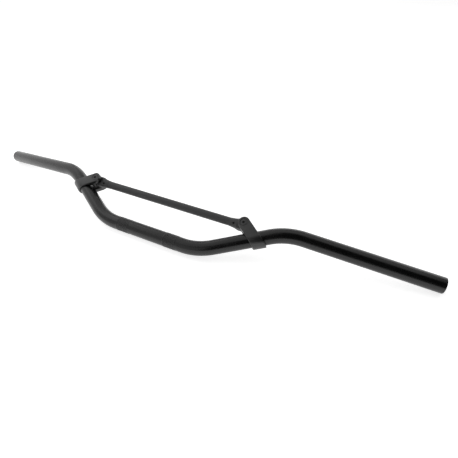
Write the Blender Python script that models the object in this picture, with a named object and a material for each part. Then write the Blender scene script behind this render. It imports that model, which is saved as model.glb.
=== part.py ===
"""Motocross handlebar with a bolted cross-brace, lying on a flat surface.

Units are metres, +Z is up and X runs along the bar. The clamping section lies at
the front (-Y), the brace and the two grip ends lie behind it. The bar rests on
its clamping section and on its two grip ends.
"""
import math

import bmesh
import bpy
from mathutils import Matrix, Vector

MM = 0.001
GAP = 0.3 * MM                       # air left between touching pieces
SMALL_EDGE = 0.3 * MM                # broken edges of the turned pieces

# Main tube: 7/8 inch bar with four bends
TUBE_RADIUS = 11.1 * MM
TUBE_BORE = 8.0 * MM
CENTRE_HALF = 88.5 * MM              # middle of the bar to the corner of the lower bend
RISER_LENGTH = 132.3 * MM            # corner to corner
RISER_ANGLE = math.radians(30.0)     # riser against the centre section
RISER_TILT = math.radians(27.3)      # riser plane against the table
GRIP_LENGTH = 212.2 * MM             # corner of the upper bend to the bar end
GRIP_SWEEP = math.radians(7.6)       # grips swept back, in plan
LOWER_BEND = 93.0 * MM               # bend radii of the centre line
UPPER_BEND = 97.5 * MM
BEND_STEPS = 9
TUBE_SIDES = 32
END_CHAMFER = 0.6 * MM

# Knurled bands, where the motorcycle's own clamps hold the bar
BAND_CENTRE = 44.6 * MM
BAND_WIDTH = 21.5 * MM
BAND_HEIGHT = 0.25 * MM
BAND_CHAMFER = 0.5 * MM

# Brace clamps: a slotted band around the riser with two flat ears
CLAMP_ON_RISER = 86.0 * MM           # lower corner to the middle of the clamp
CLAMP_WIDTH = 17.5 * MM
CLAMP_RADIUS = 14.3 * MM
CLAMP_BORE = TUBE_RADIUS + GAP
CLAMP_LEAN = math.radians(23.0)      # ears lean towards the middle of the bar
BOLT_FROM_TUBE = 24.0 * MM           # square to the riser
SLOT_HALF = 6.65 * MM                # half the opening between the ears
CLAMP_EDGE = 0.5 * MM
ARC_STEPS = 20

# Cross-brace tube and its end pieces
BRACE_RADIUS = 6.35 * MM
BRACE_BORE = 4.8 * MM
BRACE_SIDES = 24
SOCKET_MOUTH = 25.0 * MM             # mouth of the end piece's socket to the bolt axis
SOCKET_BOTTOM = 12.0 * MM
MOUTH_RADIUS = 7.0 * MM
SHOULDER_HALF_HEIGHT = 7.0 * MM
TONGUE_START = 9.6 * MM
TONGUE_HALF_WIDTH = 8.2 * MM
TONGUE_HALF_HEIGHT = SLOT_HALF - GAP
PIN_FROM_BOLT = 17.0 * MM
PIN_ROLL = math.radians(25.0)        # pins turned about the brace, towards the front
PIN_RADIUS = 1.5 * MM
PIN_BORE = 0.8 * MM
PIN_HALF_LENGTH = 6.8 * MM

# M6 low-head socket screws
SCREW_RADIUS = 3.0 * MM
SCREW_SIDES = 24
SCREW_SINK = 0.6 * MM                # shank end above the lower ear's outer face
HEAD_RADIUS = 5.0 * MM
HEAD_HEIGHT = 4.0 * MM
HEAD_SINK = 0.3 * MM                 # head top below the upper ear's outer face
SOCKET_FLATS = 4.0 * MM
SOCKET_DEPTH = 2.4 * MM

# The bolt axis in the riser plane, for the right-hand side
BOLT_X = (CENTRE_HALF + CLAMP_ON_RISER * math.cos(RISER_ANGLE)
          - BOLT_FROM_TUBE * math.tan(CLAMP_LEAN) * math.cos(RISER_ANGLE)
          - BOLT_FROM_TUBE * math.sin(RISER_ANGLE))
BOLT_Y = (CLAMP_ON_RISER * math.sin(RISER_ANGLE)
          - BOLT_FROM_TUBE * math.tan(CLAMP_LEAN) * math.sin(RISER_ANGLE)
          + BOLT_FROM_TUBE * math.cos(RISER_ANGLE))
BRACE_END = BOLT_X - SOCKET_BOTTOM - GAP


def clear_scene():
    """Remove every object of the scene that the script starts in."""
    for item in list(bpy.data.objects):
        bpy.data.objects.remove(item, do_unlink=True)


def make_material(name, colour, roughness, metallic):
    """A plain Principled material."""
    material = bpy.data.materials.new(name)
    material.use_nodes = True
    shader = material.node_tree.nodes["Principled BSDF"]
    shader.inputs["Base Color"].default_value = (*colour, 1.0)
    shader.inputs["Roughness"].default_value = roughness
    shader.inputs["Metallic"].default_value = metallic
    material.diffuse_color = (*colour, 1.0)
    return material


def make_object(name, bm, material, parent=None, smooth=True):
    """Turn a bmesh into a linked object with outward faces and its material."""
    bmesh.ops.recalc_face_normals(bm, faces=bm.faces)
    mesh = bpy.data.meshes.new(name)
    bm.to_mesh(mesh)
    bm.free()
    if smooth:
        mesh.shade_smooth()
        mesh.set_sharp_from_angle(angle=math.radians(35))
    item = bpy.data.objects.new(name, mesh)
    bpy.context.scene.collection.objects.link(item)
    if material:
        mesh.materials.append(material)
    item.parent = parent
    return item


def make_empty(name, parent=None):
    """A frame that other objects hang on."""
    item = bpy.data.objects.new(name, None)
    bpy.context.scene.collection.objects.link(item)
    item.parent = parent
    return item


def cut_with(item, cutter, name, operation="DIFFERENCE"):
    """Add a Boolean modifier and hide the cutter."""
    modifier = item.modifiers.new(name, "BOOLEAN")
    modifier.object = cutter
    modifier.operation = operation
    modifier.solver = "EXACT"
    cutter.hide_render = True
    cutter.display_type = "WIRE"


def ring(bm, centre, side, up, radius, sides):
    """One ring of vertices around a centre, in the plane of side and up."""
    verts = []
    for step in range(sides):
        angle = 2 * math.pi * step / sides
        verts.append(bm.verts.new(centre + radius * (math.cos(angle) * side + math.sin(angle) * up)))
    return verts


def bridge(bm, first, second):
    """Quads between two rings of the same size."""
    count = len(first)
    for index in range(count):
        after = (index + 1) % count
        bm.faces.new((first[index], first[after], second[after], second[index]))


def hollow_sweep(bm, outer_stations, inner_stations, sides):
    """A tube with open ends: outer skin, inner skin and two end rings.

    A station is a point, a side vector, an up vector and a radius.
    """
    outer = [ring(bm, *station, sides) for station in outer_stations]
    inner = [ring(bm, *station, sides) for station in inner_stations]
    for skin in (outer, inner):
        for first, second in zip(skin, skin[1:]):
            bridge(bm, first, second)
    bridge(bm, outer[0], inner[0])
    bridge(bm, outer[-1], inner[-1])


def turned_body(bm, outline, sides):
    """A solid of revolution about Z from (radius, height) points, bottom to top."""
    side = Vector((1, 0, 0))
    up = Vector((0, 1, 0))
    rings = [ring(bm, Vector((0, 0, height)), side, up, radius, sides) for radius, height in outline]
    for first, second in zip(rings, rings[1:]):
        bridge(bm, first, second)
    bm.faces.new(rings[0])
    bm.faces.new(rings[-1])


def prism(bm, outline, direction):
    """A closed outline pushed along a vector, centred on where it is drawn."""
    low = [bm.verts.new(point - direction / 2) for point in outline]
    high = [bm.verts.new(point + direction / 2) for point in outline]
    bridge(bm, low, high)
    bm.faces.new(low)
    bm.faces.new(high)


def arc(radius, start, end, steps):
    """Points (cos, sin) of an arc about the origin, both ends included."""
    angles = [start + (end - start) * step / steps for step in range(steps + 1)]
    return [(radius * math.cos(angle), radius * math.sin(angle)) for angle in angles]


def bar_corners():
    """Corners of the right half of the bent centre line, from the middle out."""
    height = TUBE_RADIUS + BAND_HEIGHT
    lower = Vector((CENTRE_HALF, 0, height))
    riser = Vector((math.cos(RISER_ANGLE),
                    math.sin(RISER_ANGLE) * math.cos(RISER_TILT),
                    math.sin(RISER_ANGLE) * math.sin(RISER_TILT)))
    upper = lower + RISER_LENGTH * riser
    # The grip falls until the lowest point of the bar end meets the table
    fall = 0.0
    for _ in range(5):
        fall = math.asin((upper.z - TUBE_RADIUS * math.cos(fall)) / GRIP_LENGTH)
    grip = Vector((math.cos(GRIP_SWEEP) * math.cos(fall),
                   math.sin(GRIP_SWEEP) * math.cos(fall),
                   -math.sin(fall)))
    return [Vector((0, 0, height)), lower, upper, upper + GRIP_LENGTH * grip]


def bent_line():
    """Points and tangents of the whole centre line, left bar end to right bar end."""
    middle, lower, upper, end = bar_corners()
    mirror = Matrix.Diagonal((-1, 1, 1))
    corners = [mirror @ end, mirror @ upper, mirror @ lower, lower, upper, end]
    radii = [UPPER_BEND, LOWER_BEND, LOWER_BEND, UPPER_BEND]
    stations = [(corners[0], (corners[1] - corners[0]).normalized())]
    for before, corner, after, radius in zip(corners, corners[1:], corners[2:], radii):
        arriving = (corner - before).normalized()
        leaving = (after - corner).normalized()
        bend = arriving.angle(leaving)
        axis = arriving.cross(leaving).normalized()
        start = corner - radius * math.tan(bend / 2) * arriving
        pivot = start + radius * axis.cross(arriving)
        for step in range(BEND_STEPS + 1):
            turn = Matrix.Rotation(bend * step / BEND_STEPS, 3, axis)
            stations.append((pivot + turn @ (start - pivot), turn @ arriving))
    stations.append((corners[-1], (corners[-1] - corners[-2]).normalized()))
    return stations


def band_stations(height):
    """Extra stations of the two knurled bands: position along X and added radius."""
    half = BAND_WIDTH / 2
    steps = []
    for centre in (-BAND_CENTRE, BAND_CENTRE):
        steps.append((centre - half, 0))
        steps.append((centre - half + BAND_CHAMFER, BAND_HEIGHT))
        steps.append((centre + half - BAND_CHAMFER, BAND_HEIGHT))
        steps.append((centre + half, 0))
    return [(Vector((x, 0, height)), Vector((1, 0, 0)), TUBE_RADIUS + rise) for x, rise in steps]


def with_frames(stations):
    """Give each (point, tangent, radius) a side and an up vector that do not twist."""
    side = Vector((0, 1, 0))
    framed = []
    for point, tangent, radius in stations:
        side = (side - side.dot(tangent) * tangent).normalized()
        framed.append((point, side, tangent.cross(side), radius))
    return framed


def handlebar_tube(material, parent):
    """The bent main tube, hollow, with its two raised knurled bands."""
    line = bent_line()
    half = len(line) // 2
    skin = [(point, tangent, TUBE_RADIUS) for point, tangent in line]
    skin[half:half] = band_stations(TUBE_RADIUS + BAND_HEIGHT)
    ends = []
    for (point, tangent, radius), inward in ((skin[0], 1), (skin[-1], -1)):
        ends.append((point + inward * END_CHAMFER * tangent, tangent, radius))
    outer = [(*skin[0][:2], TUBE_RADIUS - END_CHAMFER), ends[0]]
    outer += skin[1:-1]
    outer += [ends[1], (*skin[-1][:2], TUBE_RADIUS - END_CHAMFER)]
    inner = [(point, tangent, TUBE_BORE) for point, tangent in line]
    bm = bmesh.new()
    hollow_sweep(bm, with_frames(outer), with_frames(inner), TUBE_SIDES)
    return make_object("handlebar_tube", bm, material, parent)


def lean_point(side, along, across):
    """A point of the clamp's plan: along the leaning ears from the tube axis, and across."""
    ear = Vector((-side * math.sin(CLAMP_LEAN), math.cos(CLAMP_LEAN), 0))
    width = Vector((math.cos(CLAMP_LEAN), side * math.sin(CLAMP_LEAN), 0))
    return along * ear + across * width


def clamp_body(name, side, material, parent):
    """A slotted band with two ears, in the clamp's own frame.

    X is the tube axis, Y points to the brace and Z is the bolt axis.
    """
    reach = 3 * CLAMP_WIDTH
    slot_angle = math.asin(SLOT_HALF / CLAMP_BORE)
    outline = [(reach, -SLOT_HALF), (reach, -CLAMP_RADIUS)]
    outline += arc(CLAMP_RADIUS, 1.5 * math.pi, 0.5 * math.pi, ARC_STEPS)
    outline += [(reach, CLAMP_RADIUS), (reach, SLOT_HALF)]
    outline += arc(CLAMP_BORE, slot_angle, 2 * math.pi - slot_angle, ARC_STEPS + 6)
    bm = bmesh.new()
    prism(bm, [Vector((0, y, z)) for y, z in outline], Vector((3 * reach, 0, 0)))
    body = make_object(name, bm, material, parent)

    # Plan of the clamp: straight sides that lean, and a round end about the bolt
    half = CLAMP_WIDTH / 2
    bolt_along = BOLT_FROM_TUBE / math.cos(CLAMP_LEAN)
    plan = [lean_point(side, -2 * CLAMP_WIDTH, half)]
    plan += [lean_point(side, bolt_along + y, x) for x, y in arc(half, 0, math.pi, ARC_STEPS // 2)]
    plan.append(lean_point(side, -2 * CLAMP_WIDTH, -half))
    bm = bmesh.new()
    prism(bm, plan, Vector((0, 0, 4 * CLAMP_RADIUS)))
    cutter = make_object(name + "_plan", bm, None, body, smooth=False)
    cut_with(body, cutter, "plan", "INTERSECT")

    bevel = body.modifiers.new("edges", "BEVEL")
    bevel.width = CLAMP_EDGE
    bevel.segments = 1
    bevel.limit_method = "ANGLE"
    bevel.angle_limit = math.radians(50)

    # Screw hole through both ears, wider in the upper one, with a seat for the head
    bolt = lean_point(side, bolt_along, 0)
    head_seat = CLAMP_RADIUS - HEAD_SINK - HEAD_HEIGHT - GAP
    bm = bmesh.new()
    turned_body(bm, [(SCREW_RADIUS + GAP, -2 * CLAMP_RADIUS), (SCREW_RADIUS + GAP, head_seat),
                     (HEAD_RADIUS + GAP, head_seat), (HEAD_RADIUS + GAP, 2 * CLAMP_RADIUS)],
                SCREW_SIDES)
    hole = make_object(name + "_hole", bm, None, body, smooth=False)
    hole.location = bolt
    cut_with(body, hole, "screw_hole")
    return body


def clamp_screw(name, side, material, parent):
    """A low-head socket screw, standing on the clamp's bolt axis."""
    head_top = CLAMP_RADIUS - HEAD_SINK
    head_base = head_top - HEAD_HEIGHT
    outline = [(SCREW_RADIUS - SMALL_EDGE, -CLAMP_RADIUS + SCREW_SINK),
               (SCREW_RADIUS, -CLAMP_RADIUS + SCREW_SINK + SMALL_EDGE),
               (SCREW_RADIUS, head_base),
               (HEAD_RADIUS, head_base),
               (HEAD_RADIUS, head_top - SMALL_EDGE),
               (HEAD_RADIUS - SMALL_EDGE, head_top)]
    bm = bmesh.new()
    turned_body(bm, outline, SCREW_SIDES)
    screw = make_object(name, bm, material, parent)
    screw.location = lean_point(side, BOLT_FROM_TUBE / math.cos(CLAMP_LEAN), 0)

    bm = bmesh.new()
    corner = SOCKET_FLATS / 2 / math.cos(math.pi / 6)
    turned_body(bm, [(corner, head_top - SOCKET_DEPTH), (corner, head_top + SOCKET_DEPTH)], 6)
    socket = make_object(name + "_socket", bm, None, screw, smooth=False)
    cut_with(screw, socket, "socket")
    return screw


def crossbar_tube(material, parent):
    """The straight brace tube, drilled for the pins."""
    side = Vector((0, 1, 0))
    up = Vector((0, 0, 1))
    outer = [(-BRACE_END, BRACE_RADIUS - SMALL_EDGE), (-BRACE_END + SMALL_EDGE, BRACE_RADIUS),
             (BRACE_END - SMALL_EDGE, BRACE_RADIUS), (BRACE_END, BRACE_RADIUS - SMALL_EDGE)]
    inner = [(-BRACE_END, BRACE_BORE), (BRACE_END, BRACE_BORE)]
    bm = bmesh.new()
    hollow_sweep(bm, [(Vector((x, 0, 0)), side, up, radius) for x, radius in outer],
                 [(Vector((x, 0, 0)), side, up, radius) for x, radius in inner], BRACE_SIDES)
    tube = make_object("crossbar_tube", bm, material, parent)
    tube.location = (0, BOLT_Y, 0)
    return tube


def oval_ring(bm, x, half_width, half_height, squareness):
    """A ring across X between an ellipse (0) and a rounded rectangle (1)."""
    power = 2 / (2 + 6 * squareness)
    verts = []
    for step in range(BRACE_SIDES):
        angle = 2 * math.pi * (step + 0.5) / BRACE_SIDES
        across = math.cos(angle)
        upward = math.sin(angle)
        y = math.copysign(abs(across) ** power, across) * half_width
        z = math.copysign(abs(upward) ** power, upward) * half_height
        verts.append(bm.verts.new((x, y, z)))
    return verts


def crossbar_end(name, side, material, parent):
    """End piece: a widening socket around the brace tube and a tongue around the screw.

    Its origin is on the bolt axis, and +X points out of the brace.
    """
    bore = BRACE_RADIUS + GAP
    sections = [(-SOCKET_BOTTOM, bore, bore, 0),
                (-SOCKET_MOUTH, bore, bore, 0),
                (-SOCKET_MOUTH, MOUTH_RADIUS, MOUTH_RADIUS, 0)]
    flare_steps = 5
    for step in range(1, flare_steps + 1):
        share = step / flare_steps
        swell = share ** 3
        sections.append((-SOCKET_MOUTH + share * (SOCKET_MOUTH - SOCKET_BOTTOM),
                         MOUTH_RADIUS + swell * (TONGUE_HALF_WIDTH - MOUTH_RADIUS),
                         MOUTH_RADIUS + swell * (SHOULDER_HALF_HEIGHT - MOUTH_RADIUS), 0.2 * swell))
    sections.append((-TONGUE_START, TONGUE_HALF_WIDTH, TONGUE_HALF_HEIGHT, 1))
    round_steps = 6
    for step in range(round_steps):
        angle = 0.5 * math.pi * step / round_steps
        sections.append((TONGUE_HALF_WIDTH * math.sin(angle),
                         TONGUE_HALF_WIDTH * math.cos(angle), TONGUE_HALF_HEIGHT, 1))
    bm = bmesh.new()
    rings = [oval_ring(bm, *section) for section in sections]
    for first, second in zip(rings, rings[1:]):
        bridge(bm, first, second)
    bm.faces.new(rings[0])
    bm.faces.new(rings[-1])
    piece = make_object(name, bm, material, parent)
    piece.location = (side * BOLT_X, BOLT_Y, 0)
    piece.rotation_euler = (0, 0, 0 if side > 0 else math.pi)

    bm = bmesh.new()
    turned_body(bm, [(SCREW_RADIUS + GAP, -CLAMP_RADIUS), (SCREW_RADIUS + GAP, CLAMP_RADIUS)],
                SCREW_SIDES)
    hole = make_object(name + "_hole", bm, None, piece, smooth=False)
    cut_with(piece, hole, "screw_hole")
    return piece


def spring_pin(name, side, material, parent):
    """A hollow pin through the end piece's socket and the brace tube inside it."""
    across = Vector((1, 0, 0))
    up = Vector((0, 1, 0))
    outer = [(-PIN_HALF_LENGTH, PIN_RADIUS - SMALL_EDGE), (-PIN_HALF_LENGTH + SMALL_EDGE, PIN_RADIUS),
             (PIN_HALF_LENGTH - SMALL_EDGE, PIN_RADIUS), (PIN_HALF_LENGTH, PIN_RADIUS - SMALL_EDGE)]
    inner = [(-PIN_HALF_LENGTH, PIN_BORE), (PIN_HALF_LENGTH, PIN_BORE)]
    bm = bmesh.new()
    hollow_sweep(bm, [(Vector((0, 0, z)), across, up, radius) for z, radius in outer],
                 [(Vector((0, 0, z)), across, up, radius) for z, radius in inner], 12)
    pin = make_object(name, bm, material, parent)
    pin.location = (side * (BOLT_X - PIN_FROM_BOLT), BOLT_Y, 0)
    pin.rotation_euler = (PIN_ROLL, 0, 0)
    return pin


def drill_for_pin(name, side, pieces, parent):
    """A hole for a pin, through the end piece's socket and the brace tube."""
    reach = 2 * PIN_HALF_LENGTH
    bm = bmesh.new()
    turned_body(bm, [(PIN_RADIUS + GAP, -reach), (PIN_RADIUS + GAP, reach)], 12)
    drill = make_object(name, bm, None, parent, smooth=False)
    drill.location = (side * (BOLT_X - PIN_FROM_BOLT), BOLT_Y, 0)
    drill.rotation_euler = (PIN_ROLL, 0, 0)
    for piece in pieces:
        cut_with(piece, drill, name)


def main():
    """Build every piece under one root frame."""
    clear_scene()
    satin_black = make_material("satin_black_bar", (0.018, 0.018, 0.020), 0.38, 0.35)
    brace_black = make_material("satin_black_brace", (0.024, 0.024, 0.026), 0.42, 0.35)
    clamp_black = make_material("cast_black_clamp", (0.050, 0.050, 0.053), 0.55, 0.30)
    screw_black = make_material("black_oxide_steel", (0.010, 0.010, 0.011), 0.45, 0.60)
    pin_steel = make_material("dark_spring_steel", (0.060, 0.058, 0.055), 0.40, 0.80)

    root = make_empty("handlebar_frame")
    bar = handlebar_tube(satin_black, root)

    plane = make_empty("riser_plane", root)
    plane.location = (0, 0, TUBE_RADIUS + BAND_HEIGHT)
    plane.rotation_euler = (RISER_TILT, 0, 0)
    brace = crossbar_tube(brace_black, plane)
    for side, label in ((-1, "left"), (1, "right")):
        seat = make_empty("clamp_seat_" + label, plane)
        seat.location = (side * (CENTRE_HALF + CLAMP_ON_RISER * math.cos(RISER_ANGLE)),
                         CLAMP_ON_RISER * math.sin(RISER_ANGLE), 0)
        seat.rotation_euler = (0, 0, side * RISER_ANGLE)
        clamp_body("crossbar_clamp_" + label, side, clamp_black, seat)
        clamp_screw("clamp_screw_" + label, side, screw_black, seat)
        end = crossbar_end("crossbar_end_" + label, side, brace_black, plane)
        spring_pin("spring_pin_" + label, side, pin_steel, plane)
        drill_for_pin("pin_drill_" + label, side, (brace, end), plane)

    # The origin is under the middle of the bar's outline on the table
    depths = [vertex.co.y for vertex in bar.data.vertices]
    root.location = (0, -(min(depths) + max(depths)) / 2, 0)


main()
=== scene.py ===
"""Looks of a motocross handlebar with a bolted cross-brace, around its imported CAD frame.

Units are metres, +Z is up, X runs along the bar. The driving dimensions repeat those
of the CAD part, and the place of the bar is read from the frame.
"""
import math

import bmesh
import bpy
from mathutils import Matrix, Vector


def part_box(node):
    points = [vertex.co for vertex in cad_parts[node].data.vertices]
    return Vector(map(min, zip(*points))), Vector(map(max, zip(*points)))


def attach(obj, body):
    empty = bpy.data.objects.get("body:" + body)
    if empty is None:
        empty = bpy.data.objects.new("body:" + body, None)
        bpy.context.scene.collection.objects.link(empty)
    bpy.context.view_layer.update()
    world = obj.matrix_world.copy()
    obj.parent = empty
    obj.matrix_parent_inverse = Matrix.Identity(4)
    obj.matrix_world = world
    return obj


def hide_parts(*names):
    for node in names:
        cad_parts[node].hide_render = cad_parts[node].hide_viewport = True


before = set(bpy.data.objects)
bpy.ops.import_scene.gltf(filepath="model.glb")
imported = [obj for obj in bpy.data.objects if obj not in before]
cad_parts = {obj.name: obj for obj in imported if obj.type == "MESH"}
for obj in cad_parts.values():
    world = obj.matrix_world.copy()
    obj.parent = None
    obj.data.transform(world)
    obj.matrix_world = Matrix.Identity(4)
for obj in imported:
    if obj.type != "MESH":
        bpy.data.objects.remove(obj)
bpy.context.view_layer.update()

MM = 0.001
GAP = 0.3 * MM
QUARTER = 0.5 * math.pi
FULL = 2 * math.pi

# Main tube
TUBE_RADIUS = 11.1 * MM
TUBE_BORE = 8.0 * MM
CENTRE_HALF = 88.5 * MM
RISER_LENGTH = 132.3 * MM
RISER_ANGLE = math.radians(30.0)
RISER_TILT = math.radians(27.3)
GRIP_LENGTH = 212.2 * MM
GRIP_SWEEP = math.radians(7.6)
LOWER_BEND = 93.0 * MM
UPPER_BEND = 97.5 * MM
BEND_STEPS = 28
END_ROUND = 0.6 * MM

# Knurled bands: diamonds rolled into a band that stands a little proud of the tube
BAND_CENTRE = 44.6 * MM
BAND_WIDTH = 21.5 * MM
BAND_HEIGHT = 0.25 * MM
BAND_CHAMFER = 0.5 * MM
KNURL_DEPTH = 0.40 * MM
KNURL_TEETH = 64                     # around the tube
STEPS_PER_TOOTH = 4
TUBE_SIDES = KNURL_TEETH * STEPS_PER_TOOTH

# Brace clamps
CLAMP_ON_RISER = 86.0 * MM
CLAMP_WIDTH = 17.5 * MM
CLAMP_RADIUS = 14.3 * MM
CLAMP_BORE = TUBE_RADIUS + GAP
CLAMP_LEAN = math.radians(23.0)
BOLT_FROM_TUBE = 24.0 * MM
SLOT_HALF = 6.65 * MM
CLAMP_EDGE = 0.8 * MM
HOLE_CHAMFER = 0.35 * MM

# Cross-brace, its end pieces and pins
BRACE_RADIUS = 6.35 * MM
BRACE_BORE = 4.8 * MM
BRACE_SIDES = 96
SOCKET_MOUTH = 25.0 * MM
SOCKET_BOTTOM = 12.0 * MM
MOUTH_RADIUS = 7.0 * MM
SHOULDER_HALF_HEIGHT = 7.0 * MM
TONGUE_START = 9.6 * MM
TONGUE_HALF_WIDTH = 8.2 * MM
TONGUE_HALF_HEIGHT = SLOT_HALF - GAP
PIN_FROM_BOLT = 17.0 * MM
PIN_ROLL = math.radians(25.0)
PIN_RADIUS = 1.5 * MM
PIN_BORE = 0.8 * MM
PIN_HALF_LENGTH = 6.8 * MM
PIN_SLIT = math.radians(18.0)        # half of the slit's opening
PIN_EDGE = 0.12 * MM

# M6 screws
SCREW_RADIUS = 3.0 * MM
THREAD_PITCH = 1.0 * MM
THREAD_DEPTH = 0.45 * MM
THREAD_TOP = 5.5 * MM                # the thread ends this far below the tube axis
SCREW_SINK = 0.6 * MM
HEAD_RADIUS = 5.0 * MM
HEAD_HEIGHT = 4.0 * MM
HEAD_SINK = 0.3 * MM
HEAD_EDGE = 0.35 * MM
SOCKET_FLATS = 4.0 * MM
SOCKET_DEPTH = 2.4 * MM
SOCKET_CHAMFER = 0.3 * MM

# Facets around the round pieces, and along their arcs
BAND_ARC_STEPS = 72
BORE_ARC_STEPS = 96
EAR_ARC_STEPS = 48
COUNTERBORE_SIDES = 64
SCREW_SIDES = 48
PIN_SIDES = 32
PIN_BORE_STEPS = 24
HEXAGON = 6
SMOOTH_ANGLE = 32.0                  # degrees; sharper edges than this stay sharp

# The bolt axis in the riser plane, for the right-hand side
BOLT_ALONG = BOLT_FROM_TUBE / math.cos(CLAMP_LEAN)
BOLT_X = (CENTRE_HALF + CLAMP_ON_RISER * math.cos(RISER_ANGLE)
          - BOLT_FROM_TUBE * math.tan(CLAMP_LEAN) * math.cos(RISER_ANGLE)
          - BOLT_FROM_TUBE * math.sin(RISER_ANGLE))
BOLT_Y = (CLAMP_ON_RISER * math.sin(RISER_ANGLE)
          - BOLT_FROM_TUBE * math.tan(CLAMP_LEAN) * math.sin(RISER_ANGLE)
          + BOLT_FROM_TUBE * math.cos(RISER_ANGLE))
BRACE_END = BOLT_X - SOCKET_BOTTOM - GAP

# Place of the straight middle of the bar
BAR_HEIGHT = TUBE_RADIUS + BAND_HEIGHT
BAR_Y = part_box("handlebar_tube")[0][1] + BAR_HEIGHT

# Camera, as a pan about the vertical, a tilt and a slight roll
CAMERA_PLACE = (0.3297, -0.3811, 0.3720)
CAMERA_PAN = 0.5042
CAMERA_TILT = 0.9073
CAMERA_ROLL = -0.0227
CAMERA_LENS = 29.446

# Stage
FLOOR_HALF = 12
FLOOR_GLOW = 0.77
ROOM_TONE = (0.03, 0.03, 0.03, 1)
BACKDROP_TONE = (0.93, 0.93, 0.93, 1)    # seen by the camera only


# ---------------------------------------------------------------- mesh helpers

def ring(bm, centre, side, up, radii):
    """One ring of vertices around a centre, with a radius for each of its sides."""
    count = len(radii)
    verts = []
    for step, radius in enumerate(radii):
        angle = FULL * step / count
        verts.append(bm.verts.new(centre + radius * (math.cos(angle) * side + math.sin(angle) * up)))
    return verts


def bridge(bm, first, second):
    """Quads between two rings of the same size."""
    count = len(first)
    for index in range(count):
        after = (index + 1) % count
        bm.faces.new((first[index], first[after], second[after], second[index]))


def bridge_all(bm, rings):
    """Quads between each ring and the next."""
    for first, second in zip(rings, rings[1:]):
        bridge(bm, first, second)


def turned_body(bm, outline, sides):
    """A solid of revolution about Z from (radius, height) points, bottom to top."""
    side = Vector((1, 0, 0))
    up = Vector((0, 1, 0))
    rings = [ring(bm, Vector((0, 0, height)), side, up, [radius] * sides) for radius, height in outline]
    bridge_all(bm, rings)
    bm.faces.new(rings[0])
    bm.faces.new(rings[-1])


def prism(bm, outline, direction):
    """A closed outline pushed along a vector, centred on where it is drawn."""
    low = [bm.verts.new(point - direction / 2) for point in outline]
    high = [bm.verts.new(point + direction / 2) for point in outline]
    bridge(bm, low, high)
    bm.faces.new(low)
    bm.faces.new(high)


def arc(radius, start, end, steps):
    """Points (cos, sin) of an arc about the origin, both ends included."""
    angles = [start + (end - start) * step / steps for step in range(steps + 1)]
    return [(radius * math.cos(angle), radius * math.sin(angle)) for angle in angles]


def finish_mesh(name, bm, smooth_angle=SMOOTH_ANGLE):
    """Close a bmesh into a linked object with smooth round faces."""
    bmesh.ops.recalc_face_normals(bm, faces=bm.faces)
    mesh = bpy.data.meshes.new(name)
    bm.to_mesh(mesh)
    bm.free()
    mesh.shade_smooth()
    mesh.set_sharp_from_angle(angle=math.radians(smooth_angle))
    item = bpy.data.objects.new(name, mesh)
    bpy.context.scene.collection.objects.link(item)
    return item


def apply_modifiers(item):
    """Bake the modifiers of an object into its mesh."""
    graph = bpy.context.evaluated_depsgraph_get()
    mesh = bpy.data.meshes.new_from_object(item.evaluated_get(graph))
    item.modifiers.clear()
    item.data = mesh
    mesh.shade_smooth()
    mesh.set_sharp_from_angle(angle=math.radians(SMOOTH_ANGLE))


def boolean(item, cutter, operation="DIFFERENCE"):
    """Combine an object with another one, which is then removed; by default it is cut away."""
    modifier = item.modifiers.new("cut", "BOOLEAN")
    modifier.object = cutter
    modifier.operation = operation
    modifier.solver = "EXACT"
    bpy.context.view_layer.update()
    apply_modifiers(item)
    bpy.data.objects.remove(cutter, do_unlink=True)


def soften(item, width, segments, angle):
    """Round the hard edges of an object."""
    modifier = item.modifiers.new("edges", "BEVEL")
    modifier.width = width
    modifier.segments = segments
    modifier.limit_method = "ANGLE"
    modifier.angle_limit = math.radians(angle)
    bpy.context.view_layer.update()
    apply_modifiers(item)


def place(item, matrix):
    """Put an object's mesh where a matrix says, and leave its own transform at rest."""
    item.data.transform(matrix)
    if matrix.determinant() < 0:
        item.data.flip_normals()
    item.data.update()


def finished(item, material, node):
    """Hand a finished piece to the frame: material, body, and the CAD node that it stands for."""
    item.data.materials.clear()
    item.data.materials.append(material)
    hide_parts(node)
    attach(item, "root")


# ---------------------------------------------------------------- frames of the parts

def riser_plane():
    """The plane of the risers and the brace: a tilt about the middle of the bar."""
    return Matrix.Translation((0, BAR_Y, BAR_HEIGHT)) @ Matrix.Rotation(RISER_TILT, 4, "X")


def clamp_seat(side):
    """The frame of a clamp: X along the riser, Y towards the brace, Z along the screw."""
    spot = (side * (CENTRE_HALF + CLAMP_ON_RISER * math.cos(RISER_ANGLE)),
            CLAMP_ON_RISER * math.sin(RISER_ANGLE), 0)
    return riser_plane() @ Matrix.Translation(spot) @ Matrix.Rotation(side * RISER_ANGLE, 4, "Z")


def lean_point(side, along, across):
    """A point of a clamp's plan: along the leaning ears from the tube axis, and across."""
    ear = Vector((-side * math.sin(CLAMP_LEAN), math.cos(CLAMP_LEAN), 0))
    width = Vector((math.cos(CLAMP_LEAN), side * math.sin(CLAMP_LEAN), 0))
    return along * ear + across * width


# ---------------------------------------------------------------- main tube

def bar_corners():
    """Corners of the right half of the bent centre line, from the middle out."""
    lower = Vector((CENTRE_HALF, BAR_Y, BAR_HEIGHT))
    riser = Vector((math.cos(RISER_ANGLE),
                    math.sin(RISER_ANGLE) * math.cos(RISER_TILT),
                    math.sin(RISER_ANGLE) * math.sin(RISER_TILT)))
    upper = lower + RISER_LENGTH * riser
    fall = 0.0
    for _ in range(5):
        fall = math.asin((upper.z - TUBE_RADIUS * math.cos(fall)) / GRIP_LENGTH)
    grip = Vector((math.cos(GRIP_SWEEP) * math.cos(fall),
                   math.sin(GRIP_SWEEP) * math.cos(fall),
                   -math.sin(fall)))
    return [lower, upper, upper + GRIP_LENGTH * grip]


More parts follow.
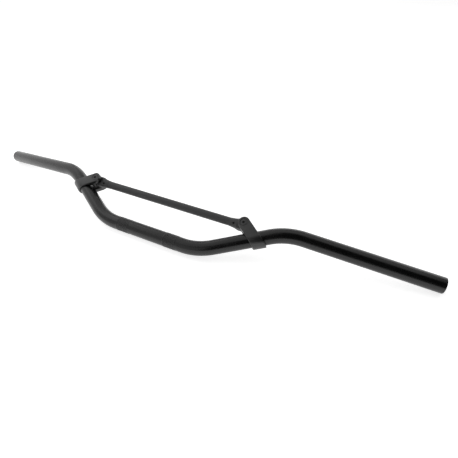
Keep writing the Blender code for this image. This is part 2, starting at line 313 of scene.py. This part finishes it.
def bent_line():
    """Points and tangents of the whole centre line, left bar end to right bar end."""
    lower, upper, end = bar_corners()
    mirror = Matrix.Diagonal((-1, 1, 1))
    corners = [mirror @ end, mirror @ upper, mirror @ lower, lower, upper, end]
    radii = [UPPER_BEND, LOWER_BEND, LOWER_BEND, UPPER_BEND]
    stations = [(corners[0], (corners[1] - corners[0]).normalized())]
    for before, corner, after, radius in zip(corners, corners[1:], corners[2:], radii):
        arriving = (corner - before).normalized()
        leaving = (after - corner).normalized()
        bend = arriving.angle(leaving)
        axis = arriving.cross(leaving).normalized()
        start = corner - radius * math.tan(bend / 2) * arriving
        pivot = start + radius * axis.cross(arriving)
        for step in range(BEND_STEPS + 1):
            turn = Matrix.Rotation(bend * step / BEND_STEPS, 3, axis)
            stations.append((pivot + turn @ (start - pivot), turn @ arriving))
    stations.append((corners[-1], (corners[-1] - corners[-2]).normalized()))
    return stations


def groove(phase):
    """A V-groove repeated once per unit: 0 at its bottom and 1 at the crest."""
    share = phase % 1.0
    return 1.0 - abs(2.0 * share - 1.0)


def band_rings(bm, centre):
    """Rings of one knurled band: chamfered ends and crossed helical grooves between them."""
    pitch = FULL * TUBE_RADIUS / KNURL_TEETH
    half = BAND_WIDTH / 2
    start = centre - half + BAND_CHAMFER
    count = round((BAND_WIDTH - 2 * BAND_CHAMFER) / pitch * STEPS_PER_TOOTH)
    crest = TUBE_RADIUS + BAND_HEIGHT
    side = Vector((0, 1, 0))
    up = Vector((0, 0, 1))

    def plain(x, radius):
        return ring(bm, Vector((x, BAR_Y, BAR_HEIGHT)), side, up, [radius] * TUBE_SIDES)

    rings = [plain(centre - half - 2 * BAND_CHAMFER, TUBE_RADIUS), plain(centre - half, TUBE_RADIUS)]
    for row in range(count + 1):
        x = start + (BAND_WIDTH - 2 * BAND_CHAMFER) * row / count
        along = row / STEPS_PER_TOOTH
        fade = min(1.0, row / 2, (count - row) / 2)
        radii = []
        for step in range(TUBE_SIDES):
            around = step / STEPS_PER_TOOTH
            lift = min(groove((around + along) / 2), groove((around - along) / 2))
            radii.append(crest - fade * KNURL_DEPTH * (1.0 - min(1.0, 1.25 * lift)))
        rings.append(ring(bm, Vector((x, BAR_Y, BAR_HEIGHT)), side, up, radii))
    rings.append(plain(centre + half, TUBE_RADIUS))
    rings.append(plain(centre + half + 2 * BAND_CHAMFER, TUBE_RADIUS))
    return rings


def end_profile():
    """The rounded outer and inner edges of a cut bar end: (distance from the end, radius)."""
    steps = 5
    angles = [QUARTER * step / steps for step in range(steps + 1)]
    return [(END_ROUND * (1 - math.sin(angle)), TUBE_RADIUS - END_ROUND * (1 - math.cos(angle)))
            for angle in reversed(angles)]


def main_tube():
    """The bent tube: outer skin with the two knurled bands, rounded ends and the bore."""
    line = bent_line()
    middle = len(line) // 2
    side = Vector((0, 1, 0))
    frames = []
    for point, tangent in line:
        side = (side - side.dot(tangent) * tangent).normalized()
        frames.append((point, tangent, side.copy(), tangent.cross(side)))

    bm = bmesh.new()

    def round_ring(station, inward, radius):
        point, tangent, side, up = station
        return ring(bm, point + inward * tangent, side, up, [radius] * TUBE_SIDES)

    edge = end_profile()
    outer = [round_ring(frames[0], distance, radius) for distance, radius in edge]
    outer += [round_ring(station, 0, TUBE_RADIUS) for station in frames[1:middle]]
    outer += band_rings(bm, -BAND_CENTRE)
    outer += band_rings(bm, BAND_CENTRE)
    outer += [round_ring(station, 0, TUBE_RADIUS) for station in frames[middle:-1]]
    outer += [round_ring(frames[-1], -distance, radius) for distance, radius in reversed(edge)]
    lip = END_ROUND / 2
    inner = [round_ring(frames[0], 0, TUBE_BORE + lip), round_ring(frames[0], lip, TUBE_BORE)]
    inner += [round_ring(station, 0, TUBE_BORE) for station in frames[1:-1:2]]
    inner += [round_ring(frames[-1], -lip, TUBE_BORE), round_ring(frames[-1], 0, TUBE_BORE + lip)]
    bridge_all(bm, outer)
    bridge_all(bm, inner)
    bridge(bm, outer[0], inner[0])
    bridge(bm, outer[-1], inner[-1])
    return finish_mesh("bar", bm, 50.0)


# ---------------------------------------------------------------- clamps and screws

def clamp(side):
    """A slotted band with two leaning ears, soft edges and a counterbored screw hole."""
    name = "clamp_left" if side < 0 else "clamp_right"
    reach = 3 * CLAMP_WIDTH
    slot_angle = math.asin(SLOT_HALF / CLAMP_BORE)
    outline = [(reach, -SLOT_HALF), (reach, -CLAMP_RADIUS)]
    outline += arc(CLAMP_RADIUS, 3 * QUARTER, QUARTER, BAND_ARC_STEPS)
    outline += [(reach, CLAMP_RADIUS), (reach, SLOT_HALF)]
    outline += arc(CLAMP_BORE, slot_angle, FULL - slot_angle, BORE_ARC_STEPS)
    bm = bmesh.new()
    prism(bm, [Vector((0, y, z)) for y, z in outline], Vector((3 * reach, 0, 0)))
    body = finish_mesh(name, bm)

    half = CLAMP_WIDTH / 2
    plan = [lean_point(side, -2 * CLAMP_WIDTH, half)]
    ear_end = arc(half, 0, math.pi, EAR_ARC_STEPS)
    plan += [lean_point(side, BOLT_ALONG + y, x) for x, y in ear_end]
    plan.append(lean_point(side, -2 * CLAMP_WIDTH, -half))
    bm = bmesh.new()
    prism(bm, plan, Vector((0, 0, 4 * CLAMP_RADIUS)))
    boolean(body, finish_mesh(name + "_plan", bm), "INTERSECT")
    soften(body, CLAMP_EDGE, 3, 50.0)

    head_seat = CLAMP_RADIUS - HEAD_SINK - HEAD_HEIGHT - GAP
    narrow = SCREW_RADIUS + GAP
    wide = HEAD_RADIUS + GAP
    bm = bmesh.new()
    turned_body(bm, [(narrow + CLAMP_RADIUS, -2 * CLAMP_RADIUS),
                     (narrow + HOLE_CHAMFER, -CLAMP_RADIUS - HOLE_CHAMFER / 2),
                     (narrow, -CLAMP_RADIUS + HOLE_CHAMFER),
                     (narrow, head_seat), (wide, head_seat),
                     (wide, CLAMP_RADIUS - HOLE_CHAMFER),
                     (wide + 2 * HOLE_CHAMFER, CLAMP_RADIUS + HOLE_CHAMFER)], COUNTERBORE_SIDES)
    hole = finish_mesh(name + "_hole", bm)
    place(hole, Matrix.Translation(lean_point(side, BOLT_ALONG, 0)))
    boolean(body, hole)
    place(body, clamp_seat(side))
    return body


def screw(side):
    """A low-head socket screw with its thread and a hexagon socket."""
    name = "screw_left" if side < 0 else "screw_right"
    head_top = CLAMP_RADIUS - HEAD_SINK
    head_base = head_top - HEAD_HEIGHT
    tip = -CLAMP_RADIUS + SCREW_SINK
    steps = 8                            # rings per turn of the thread
    bm = bmesh.new()
    across = Vector((1, 0, 0))
    up = Vector((0, 1, 0))

    def flat_ring(height, radius):
        return ring(bm, Vector((0, 0, height)), across, up, [radius] * SCREW_SIDES)

    core = SCREW_RADIUS - THREAD_DEPTH
    rings = [flat_ring(tip, core - GAP)]
    count = round((-THREAD_TOP - tip - THREAD_PITCH) / THREAD_PITCH * steps)
    for row in range(count + 1):
        height = tip + THREAD_PITCH / 2 + row * THREAD_PITCH / steps
        fade = min(1.0, row / steps, (count - row) / steps)
        radii = [core + fade * THREAD_DEPTH * groove(row / steps - step / SCREW_SIDES)
                 for step in range(SCREW_SIDES)]
        rings.append(ring(bm, Vector((0, 0, height)), across, up, radii))
    rings += [flat_ring(-THREAD_TOP + GAP, core), flat_ring(-THREAD_TOP + 2 * GAP, SCREW_RADIUS),
              flat_ring(head_base, SCREW_RADIUS), flat_ring(head_base, HEAD_RADIUS - GAP),
              flat_ring(head_base + GAP, HEAD_RADIUS)]
    edge_steps = 4
    for step in range(edge_steps + 1):
        angle = QUARTER * step / edge_steps
        rings.append(flat_ring(head_top - HEAD_EDGE * (1 - math.sin(angle)),
                               HEAD_RADIUS - HEAD_EDGE * (1 - math.cos(angle))))
    bridge_all(bm, rings)
    bm.faces.new(rings[0])
    bm.faces.new(rings[-1])
    body = finish_mesh(name, bm)

    corner = SOCKET_FLATS / 2 / math.cos(math.pi / HEXAGON)
    bm = bmesh.new()
    turned_body(bm, [(corner * 0.5, head_top - SOCKET_DEPTH - SOCKET_CHAMFER * 2),
                     (corner, head_top - SOCKET_DEPTH),
                     (corner, head_top - SOCKET_CHAMFER),
                     (corner + 2 * SOCKET_CHAMFER, head_top + SOCKET_CHAMFER)], HEXAGON)
    boolean(body, finish_mesh(name + "_socket", bm))
    place(body, clamp_seat(side) @ Matrix.Translation(lean_point(side, BOLT_ALONG, 0)))
    return body


# ---------------------------------------------------------------- cross-brace

def pin_drill(side):
    """The hole for a pin, in the frame of the brace."""
    bm = bmesh.new()
    reach = 2 * PIN_HALF_LENGTH
    turned_body(bm, [(PIN_RADIUS + GAP, -reach), (PIN_RADIUS + GAP, reach)], PIN_SIDES)
    drill = finish_mesh("pin_drill", bm)
    spot = Matrix.Translation((side * (BOLT_X - PIN_FROM_BOLT), BOLT_Y, 0))
    place(drill, spot @ Matrix.Rotation(PIN_ROLL, 4, "X"))
    return drill


def brace_tube():
    """The straight brace tube, with rounded ends, drilled for the pins."""
    side = Vector((0, 1, 0))
    up = Vector((0, 0, 1))
    bm = bmesh.new()

    def round_ring(x, radius):
        return ring(bm, Vector((x, BOLT_Y, 0)), side, up, [radius] * BRACE_SIDES)

    outer = [round_ring(-BRACE_END, BRACE_RADIUS - GAP), round_ring(-BRACE_END + GAP, BRACE_RADIUS),
             round_ring(BRACE_END - GAP, BRACE_RADIUS), round_ring(BRACE_END, BRACE_RADIUS - GAP)]
    inner = [round_ring(-BRACE_END, BRACE_BORE), round_ring(BRACE_END, BRACE_BORE)]
    bridge_all(bm, outer)
    bridge_all(bm, inner)
    bridge(bm, outer[0], inner[0])
    bridge(bm, outer[-1], inner[-1])
    tube = finish_mesh("brace", bm)
    for end in (-1, 1):
        boolean(tube, pin_drill(end))
    place(tube, riser_plane())
    return tube


def oval_ring(bm, x, half_width, half_height, squareness):
    """A ring across X between an ellipse (0) and a rounded rectangle (1)."""
    power = 2 / (2 + 6 * squareness)
    verts = []
    for step in range(BRACE_SIDES):
        angle = FULL * (step + 0.5) / BRACE_SIDES
        across = math.cos(angle)
        upward = math.sin(angle)
        y = math.copysign(abs(across) ** power, across) * half_width
        z = math.copysign(abs(upward) ** power, upward) * half_height
        verts.append(bm.verts.new((x, y, z)))
    return verts


def ease(share):
    """A smooth step from 0 to 1."""
    return share * share * (3 - 2 * share)


def brace_end(side):
    """End piece: a widening socket around the brace tube, a shoulder and a round tongue."""
    name = "brace_end_left" if side < 0 else "brace_end_right"
    bore = BRACE_RADIUS + GAP / 2
    edge = bore + GAP / 3                # the socket is feathered at its mouth
    sections = [(-SOCKET_BOTTOM, bore, bore, 0), (-SOCKET_MOUTH, bore, bore, 0),
                (-SOCKET_MOUTH, edge, edge, 0)]
    flare_steps = 14
    for step in range(1, flare_steps + 1):
        share = step / flare_steps
        swell = share ** 3
        lift = edge + (MOUTH_RADIUS - edge) * min(1.0, 2 * share)
        sections.append((-SOCKET_MOUTH + share * (SOCKET_MOUTH - SOCKET_BOTTOM),
                         lift + swell * (TONGUE_HALF_WIDTH - lift),
                         lift + swell * (SHOULDER_HALF_HEIGHT - lift), 0.2 * swell))
    shoulder_steps = 8
    for step in range(1, shoulder_steps + 1):
        share = step / shoulder_steps
        sections.append((-SOCKET_BOTTOM + share * (SOCKET_BOTTOM - TONGUE_START), TONGUE_HALF_WIDTH,
                         SHOULDER_HALF_HEIGHT + ease(share) * (TONGUE_HALF_HEIGHT - SHOULDER_HALF_HEIGHT),
                         0.2 + 0.8 * ease(share)))
    round_steps = 20
    for step in range(round_steps):
        angle = QUARTER * step / round_steps
        sections.append((TONGUE_HALF_WIDTH * math.sin(angle),
                         TONGUE_HALF_WIDTH * math.cos(angle), TONGUE_HALF_HEIGHT, 1))
    bm = bmesh.new()
    rings = [oval_ring(bm, *section) for section in sections]
    bridge_all(bm, rings)
    bm.faces.new(rings[0])
    bm.faces.new(rings[-1])
    piece = finish_mesh(name, bm)
    bm = bmesh.new()
    turned_body(bm, [(SCREW_RADIUS + GAP, -CLAMP_RADIUS), (SCREW_RADIUS + GAP, CLAMP_RADIUS)],
                SCREW_SIDES)
    boolean(piece, finish_mesh(name + "_hole", bm))
    turn = Matrix.Rotation(0 if side > 0 else math.pi, 4, "Z")
    place(piece, Matrix.Translation((side * BOLT_X, BOLT_Y, 0)) @ turn)
    boolean(piece, pin_drill(side))
    place(piece, riser_plane())
    return piece


def pin(side):
    """A spring pin: a rolled C section with chamfered ends."""
    outer = arc(PIN_RADIUS, PIN_SLIT, FULL - PIN_SLIT, PIN_SIDES)
    inner = arc(PIN_BORE, FULL - PIN_SLIT, PIN_SLIT, PIN_BORE_STEPS)
    bm = bmesh.new()
    prism(bm, [Vector((x, y, 0)) for x, y in outer + inner], Vector((0, 0, 2 * PIN_HALF_LENGTH)))
    item = finish_mesh("pin_left" if side < 0 else "pin_right", bm)
    soften(item, PIN_EDGE, 2, 50.0)
    spot = Matrix.Translation((side * (BOLT_X - PIN_FROM_BOLT), BOLT_Y, 0))
    place(item, riser_plane() @ spot @ Matrix.Rotation(PIN_ROLL, 4, "X"))
    return item


# ---------------------------------------------------------------- materials

def shader_nodes(name):
    """A new node material: its node tree, its Principled shader and object coordinates."""
    material = bpy.data.materials.new(name)
    material.use_nodes = True
    tree = material.node_tree
    coords = tree.nodes.new("ShaderNodeTexCoord")
    return material, tree, tree.nodes["Principled BSDF"], coords.outputs["Object"]


def noise_texture(tree, vector, scale, detail, roughness=0.55, stretch=None):
    """Noise in object space, in cells per metre, optionally stretched along the axes."""
    if stretch:
        mapping = tree.nodes.new("ShaderNodeMapping")
        mapping.inputs["Scale"].default_value = stretch
        tree.links.new(vector, mapping.inputs["Vector"])
        vector = mapping.outputs["Vector"]
    node = tree.nodes.new("ShaderNodeTexNoise")
    node.inputs["Scale"].default_value = scale
    node.inputs["Detail"].default_value = detail
    node.inputs["Roughness"].default_value = roughness
    tree.links.new(vector, node.inputs["Vector"])
    return node.outputs["Fac"]


def colour_range(tree, value, dark, light, low=0.35, high=0.65):
    """A colour between two tones, driven by a texture."""
    ramp = tree.nodes.new("ShaderNodeValToRGB")
    ramp.color_ramp.elements[0].position = low
    ramp.color_ramp.elements[0].color = (*dark, 1)
    ramp.color_ramp.elements[1].position = high
    ramp.color_ramp.elements[1].color = (*light, 1)
    tree.links.new(value, ramp.inputs["Fac"])
    return ramp.outputs["Color"]


def number_range(tree, value, low, high, start=0.35, end=0.65):
    """A number between two limits, driven by a texture."""
    node = tree.nodes.new("ShaderNodeMapRange")
    node.inputs["From Min"].default_value = start
    node.inputs["From Max"].default_value = end
    node.inputs["To Min"].default_value = low
    node.inputs["To Max"].default_value = high
    tree.links.new(value, node.inputs["Value"])
    return node.outputs["Result"]


def add_bump(tree, value, strength, distance, before=None):
    """A bump of a texture, on top of an earlier bump."""
    node = tree.nodes.new("ShaderNodeBump")
    node.inputs["Strength"].default_value = strength
    node.inputs["Distance"].default_value = distance
    tree.links.new(value, node.inputs["Height"])
    if before:
        tree.links.new(before, node.inputs["Normal"])
    return node.outputs["Normal"]


def anodised(name, dark, light, smooth, rough, grain, gloss):
    """Satin black anodising over fine drawn grain, with faint cloudy variation in its gloss."""
    material, tree, shader, coords = shader_nodes(name)
    clouds = noise_texture(tree, coords, 45, 3)
    pores = noise_texture(tree, coords, 2600, 2, 0.7)
    drawn = noise_texture(tree, coords, 700, 3, 0.6, stretch=(0.06, 1, 1))
    tree.links.new(colour_range(tree, clouds, dark, light), shader.inputs["Base Color"])
    tree.links.new(number_range(tree, clouds, smooth, rough), shader.inputs["Roughness"])
    normal = add_bump(tree, drawn, grain, 0.04 * MM)
    normal = add_bump(tree, pores, grain, 0.03 * MM, normal)
    tree.links.new(normal, shader.inputs["Normal"])
    shader.inputs["Specular IOR Level"].default_value = gloss
    return material


def cast_paint(name, dark, light, smooth, rough):
    """Satin black paint over a shot-blasted casting."""
    material, tree, shader, coords = shader_nodes(name)
    lumps = noise_texture(tree, coords, 260, 4, 0.6)
    grit = noise_texture(tree, coords, 1900, 3, 0.65)
    tree.links.new(colour_range(tree, lumps, dark, light), shader.inputs["Base Color"])
    tree.links.new(number_range(tree, grit, smooth, rough), shader.inputs["Roughness"])
    normal = add_bump(tree, lumps, 0.35, 0.12 * MM)
    normal = add_bump(tree, grit, 0.45, 0.08 * MM, normal)
    tree.links.new(normal, shader.inputs["Normal"])
    shader.inputs["Specular IOR Level"].default_value = 0.7
    return material


def black_oxide(name, dark, light, metallic):
    """Oiled black oxide on steel, with fine turning marks."""
    material, tree, shader, coords = shader_nodes(name)
    stains = noise_texture(tree, coords, 500, 3)
    marks = noise_texture(tree, coords, 2400, 2)
    tree.links.new(colour_range(tree, stains, dark, light), shader.inputs["Base Color"])
    tree.links.new(number_range(tree, stains, 0.30, 0.48), shader.inputs["Roughness"])
    tree.links.new(add_bump(tree, marks, 0.3, 0.03 * MM), shader.inputs["Normal"])
    shader.inputs["Metallic"].default_value = metallic
    return material


# ---------------------------------------------------------------- stage

def softbox(name, spot, target, width, height, radiance):
    """A large rectangular light that faces a target."""
    data = bpy.data.lights.new(name, "AREA")
    data.shape = "RECTANGLE"
    data.size = width
    data.size_y = height
    data.energy = 4 * radiance * width * height
    light = bpy.data.objects.new(name, data)
    light.location = spot
    light.rotation_euler = (Vector(target) - Vector(spot)).to_track_quat("-Z", "Y").to_euler()
    light.visible_camera = False
    bpy.context.scene.collection.objects.link(light)


def pale_floor():
    """A large matt white floor, slightly luminous."""
    bm = bmesh.new()
    bmesh.ops.create_grid(bm, x_segments=2, y_segments=2, size=FLOOR_HALF)
    floor = finish_mesh("floor", bm)
    material, tree, shader, coords = shader_nodes("pale_floor")
    tone = colour_range(tree, noise_texture(tree, coords, 2, 2), (0.83, 0.83, 0.83), (0.85, 0.85, 0.85))
    tree.links.new(tone, shader.inputs["Base Color"])
    shader.inputs["Roughness"].default_value = 0.9
    shader.inputs["Specular IOR Level"].default_value = 0.1
    shader.inputs["Emission Color"].default_value = (1, 1, 1, 1)
    shader.inputs["Emission Strength"].default_value = FLOOR_GLOW
    floor.data.materials.append(material)


def studio():
    """World, softboxes, floor and view transform."""
    scene = bpy.context.scene
    scene.view_settings.view_transform = "Standard"
    world = bpy.data.worlds.new("studio")
    world.use_nodes = True
    scene.world = world
    nodes = world.node_tree.nodes
    links = world.node_tree.links
    room = nodes["Background"]
    room.inputs["Color"].default_value = ROOM_TONE
    backdrop = nodes.new("ShaderNodeBackground")
    backdrop.inputs["Color"].default_value = BACKDROP_TONE
    rays = nodes.new("ShaderNodeLightPath")
    mix = nodes.new("ShaderNodeMixShader")
    links.new(rays.outputs["Is Camera Ray"], mix.inputs[0])
    links.new(room.outputs[0], mix.inputs[1])
    links.new(backdrop.outputs[0], mix.inputs[2])
    links.new(mix.outputs[0], nodes["World Output"].inputs["Surface"])

    softbox("wall_left", spot=(-2.4, 0.4, 1.5), target=(0, 0.4, 1.5),
            width=3.2, height=3.0, radiance=0.76)
    softbox("wall_front_left", spot=(-1.35, -2.3, 1.4), target=(0, 0, 1.4),
            width=3.0, height=2.8, radiance=0.50)
    softbox("wall_back", spot=(-0.3, 2.6, 1.0), target=(-0.3, 0, 1.0),
            width=4.8, height=2.0, radiance=0.90)
    softbox("ceiling", spot=(-0.2, 1.2, 2.3), target=(-0.2, 1.2, 0),
            width=4.4, height=2.4, radiance=0.58)
    softbox("ceiling_front", spot=(-1.25, -0.8, 2.3), target=(-1.25, -0.8, 0),
            width=2.3, height=1.6, radiance=0.58)
    pale_floor()


def camera():
    """The camera of the main view."""
    data = bpy.data.cameras.new("camera")
    data.lens = CAMERA_LENS
    data.sensor_width = 36
    item = bpy.data.objects.new("camera", data)
    turn = (Matrix.Rotation(CAMERA_PAN, 3, "Z") @ Matrix.Rotation(CAMERA_TILT, 3, "X")
            @ Matrix.Rotation(CAMERA_ROLL, 3, "Z"))
    item.location = CAMERA_PLACE
    item.rotation_euler = turn.to_euler()
    data.clip_start = 0.01
    bpy.context.scene.collection.objects.link(item)
    bpy.context.scene.camera = item


# ---------------------------------------------------------------- the whole scene

camera()
studio()

bar_black = anodised("bar_black", dark=(0.0015, 0.0015, 0.0016), light=(0.0024, 0.0024, 0.0026),
                     smooth=0.24, rough=0.29, grain=0.12, gloss=0.5)
brace_black = anodised("brace_black", dark=(0.036, 0.036, 0.037), light=(0.045, 0.045, 0.046),
                       smooth=0.44, rough=0.52, grain=0.20, gloss=0.5)
clamp_black = cast_paint("clamp_black", dark=(0.009, 0.009, 0.009), light=(0.013, 0.013, 0.013),
                         smooth=0.30, rough=0.38)
screw_black = black_oxide("screw_black", dark=(0.058, 0.058, 0.059), light=(0.074, 0.074, 0.075),
                          metallic=0.6)
pin_dark = black_oxide("pin_dark", dark=(0.010, 0.010, 0.010), light=(0.018, 0.018, 0.018),
                       metallic=0.6)

finished(main_tube(), bar_black, "handlebar_tube")
finished(brace_tube(), brace_black, "crossbar_tube")
for side, label in ((-1, "left"), (1, "right")):
    finished(clamp(side), clamp_black, "crossbar_clamp_" + label)
    finished(screw(side), screw_black, "clamp_screw_" + label)
    finished(brace_end(side), brace_black, "crossbar_end_" + label)
    finished(pin(side), pin_dark, "spring_pin_" + label)
